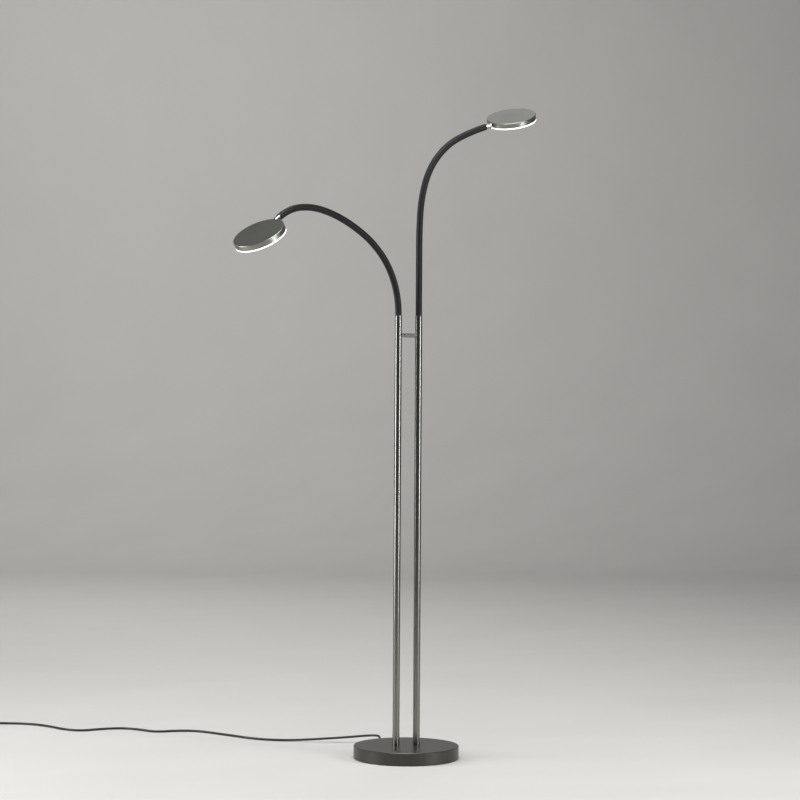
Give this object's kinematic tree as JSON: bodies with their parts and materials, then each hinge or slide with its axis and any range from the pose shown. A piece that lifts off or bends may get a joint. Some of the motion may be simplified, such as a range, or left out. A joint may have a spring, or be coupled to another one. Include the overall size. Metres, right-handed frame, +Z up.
{
  "type": "two-arm floor lamp",
  "caption": "Floor lamp: round weighted base, twin slim poles joined by a bar, flexible black goosenecks that carry flat disc reading heads, black mains cord.",
  "frame": {"origin": "middle of the base's underside, on the floor", "axes": "+Z up; X along the pair of poles, from the left pole to the right one; the cord leaves the base at the back, towards +Y"},
  "size_m": [1.283, 1.2044, 1.504],
  "materials": {
    "graphite_cover": "fine satin graphite lacquer",
    "graphite_tube": "satin graphite lacquer with brushed sheen",
    "graphite_head": "satin graphite lacquer",
    "iron": "rough casting",
    "plate_steel": "zinc plated sheet",
    "screw_steel": "zinc plated",
    "bright_stem": "polished",
    "foot_rubber": "matte",
    "sleeve": "matte black, fine ribs",
    "black_plastic": "fine grain",
    "case_plastic": "smooth",
    "cable": "soft satin",
    "board": "white solder mask",
    "green_board": "solder mask",
    "opal": "opal, satin"
  },
  "bodies": {
    "base": {"base_cover": "graphite_cover", "base_weight": "iron", "bottom_plate": "plate_steel", "plate_screws": "screw_steel", "foot_ring": "foot_rubber", "driver_case": "case_plastic", "driver_lid": "case_plastic", "driver_board": "green_board", "terminal_block": "case_plastic", "cord_clamp": "case_plastic", "inner_leads": "cable", "cord_gland": "black_plastic", "mains_cord": "cable", "mains_coil": "cable", "coil_tie": "black_plastic", "plug_body": "black_plastic", "plug_pins": "screw_steel", "left_tube": "graphite_tube", "right_tube": "graphite_tube", "crossbar": "graphite_tube", "crossbar_dowels": "screw_steel", "tube_studs": "screw_steel", "tube_washers": "screw_steel", "tube_nuts": "screw_steel", "left_lead": "cable", "right_lead": "cable"},
    "left_mount": {"left_socket": "black_plastic"},
    "left_arm_1": {"left_arm_1": "sleeve"},
    "left_arm_2": {"left_arm_2": "sleeve"},
    "left_arm_3": {"left_arm_3": "sleeve"},
    "left_arm_4": {"left_arm_4": "sleeve"},
    "left_arm_5": {"left_arm_5": "sleeve"},
    "left_arm_6": {"left_arm_6": "sleeve"},
    "left_arm_7": {"left_arm_7": "sleeve", "left_stem": "bright_stem", "left_stem_nut": "screw_steel"},
    "left_head": {"left_head_housing": "graphite_head", "left_led_board": "board", "left_board_screws": "screw_steel", "left_switch": "black_plastic", "left_diffuser": "opal"},
    "left_button": {"left_button": "black_plastic"},
    "right_mount": {"right_socket": "black_plastic"},
    "right_arm_1": {"right_arm_1": "sleeve"},
    "right_arm_2": {"right_arm_2": "sleeve"},
    "right_arm_3": {"right_arm_3": "sleeve"},
    "right_arm_4": {"right_arm_4": "sleeve"},
    "right_arm_5": {"right_arm_5": "sleeve"},
    "right_arm_6": {"right_arm_6": "sleeve"},
    "right_arm_7": {"right_arm_7": "sleeve", "right_stem": "bright_stem", "right_stem_nut": "screw_steel"},
    "right_head": {"right_head_housing": "graphite_head", "right_led_board": "board", "right_board_screws": "screw_steel", "right_switch": "black_plastic", "right_diffuser": "opal"},
    "right_button": {"right_button": "black_plastic"}
  },
  "joints": [
    {"name": "left_arm_turn", "type": "hinge", "parent": "base", "child": "left_mount", "pos_m": [-0.025, 0, 1.008], "axis": [0, 0, 1], "range_deg": [-60, 60]},
    {"name": "left_bend_1", "type": "hinge", "parent": "left_mount", "child": "left_arm_1", "pos_m": [-0.025, 0, 1.01264], "axis": [0.4894, -0.8721, 0], "range_deg": [-11.88, 5.4]},
    {"name": "left_bend_2", "type": "hinge", "parent": "left_arm_1", "child": "left_arm_2", "pos_m": [-0.03949, -0.00813, 1.08461], "axis": [0.4894, -0.8721, 0], "range_deg": [-22, 10], "deforming": ["left_lead"]},
    {"name": "left_bend_3", "type": "hinge", "parent": "left_arm_2", "child": "left_arm_3", "pos_m": [-0.07856, -0.03006, 1.14353], "axis": [0.4894, -0.8721, 0], "range_deg": [-16.94, 7.7]},
    {"name": "left_bend_4", "type": "hinge", "parent": "left_arm_3", "child": "left_arm_4", "pos_m": [-0.13227, -0.0602, 1.18508], "axis": [0.4894, -0.8721, 0], "range_deg": [-10.48, 4.76]},
    {"name": "left_bend_5", "type": "hinge", "parent": "left_arm_4", "child": "left_arm_5", "pos_m": [-0.19225, -0.09385, 1.21356], "axis": [0.4894, -0.8721, 0], "range_deg": [-8.61, 4.92]},
    {"name": "left_bend_6", "type": "hinge", "parent": "left_arm_5", "child": "left_arm_6", "pos_m": [-0.25528, -0.12923, 1.23125], "axis": [0.4894, -0.8721, 0], "range_deg": [-12.39, 7.08]},
    {"name": "left_bend_7", "type": "hinge", "parent": "left_arm_6", "child": "left_arm_7", "pos_m": [-0.32003, -0.16556, 1.23255], "axis": [0.4894, -0.8721, 0], "range_deg": [-21, 12]},
    {"name": "left_head_swivel", "type": "hinge", "parent": "left_arm_7", "child": "left_head", "pos_m": [-0.39225, -0.20609, 1.19747], "axis": [-0.723, -0.4057, -0.5592], "range_deg": [-90, 90]},
    {"name": "left_button_press", "type": "slide", "parent": "left_head", "child": "left_button", "axis": [-0.4764, -0.2934, 0.8288], "range_m": [0, 0.0008], "stiffness_N_per_m": 600, "springref_m": -0.001},
    {"name": "right_arm_turn", "type": "hinge", "parent": "base", "child": "right_mount", "pos_m": [0.025, 0, 1.008], "axis": [0, 0, 1], "range_deg": [-60, 60]},
    {"name": "right_bend_1", "type": "hinge", "parent": "right_mount", "child": "right_arm_1", "pos_m": [0.025, 0, 1.01264], "axis": [-0.1219, 0.9925, 0], "range_deg": [-2, 8], "deforming": ["right_lead"]},
    {"name": "right_bend_2", "type": "hinge", "parent": "right_arm_1", "child": "right_arm_2", "pos_m": [0.025, 0, 1.08714], "axis": [-0.1219, 0.9925, 0], "range_deg": [-2, 8]},
    {"name": "right_bend_3", "type": "hinge", "parent": "right_arm_2", "child": "right_arm_3", "pos_m": [0.025, 0, 1.16164], "axis": [-0.1219, 0.9925, 0], "range_deg": [-2, 8]},
    {"name": "right_bend_4", "type": "hinge", "parent": "right_arm_3", "child": "right_arm_4", "pos_m": [0.02694, 0.00024, 1.23611], "axis": [-0.1219, 0.9925, 0], "range_deg": [-2, 8]},
    {"name": "right_bend_5", "type": "hinge", "parent": "right_arm_4", "child": "right_arm_5", "pos_m": [0.0388, 0.00169, 1.30949], "axis": [-0.1219, 0.9925, 0], "range_deg": [-15.4, 7.7]},
    {"name": "right_bend_6", "type": "hinge", "parent": "right_arm_5", "child": "right_arm_6", "pos_m": [0.07242, 0.00582, 1.37526], "axis": [-0.1219, 0.9925, 0], "range_deg": [-20, 10]},
    {"name": "right_bend_7", "type": "hinge", "parent": "right_arm_6", "child": "right_arm_7", "pos_m": [0.12946, 0.01283, 1.4218], "axis": [-0.1219, 0.9925, 0], "range_deg": [-13.6, 6.8]},
    {"name": "right_head_swivel", "type": "hinge", "parent": "right_arm_7", "child": "right_head", "pos_m": [0.21313, 0.0231, 1.45582], "axis": [0.9413, 0.1156, 0.3173], "range_deg": [-90, 90]},
    {"name": "right_button_press", "type": "slide", "parent": "right_head", "child": "right_button", "axis": [-0.2655, -0.3272, 0.9069], "range_m": [0, 0.0008], "stiffness_N_per_m": 600, "springref_m": -0.001}
  ],
  "couplings": [
    {"joint": "left_bend_1", "follows": "left_bend_2", "ratio": 0.54},
    {"joint": "left_bend_3", "follows": "left_bend_2", "ratio": 0.77},
    {"joint": "left_bend_4", "follows": "left_bend_2", "ratio": 0.476},
    {"joint": "left_bend_5", "follows": "left_bend_7", "ratio": 0.41},
    {"joint": "left_bend_6", "follows": "left_bend_7", "ratio": 0.59},
    {"joint": "right_bend_2", "follows": "right_bend_1", "ratio": 1},
    {"joint": "right_bend_3", "follows": "right_bend_1", "ratio": 1},
    {"joint": "right_bend_4", "follows": "right_bend_1", "ratio": 1},
    {"joint": "right_bend_5", "follows": "right_bend_6", "ratio": 0.77},
    {"joint": "right_bend_7", "follows": "right_bend_6", "ratio": 0.68}
  ]
}
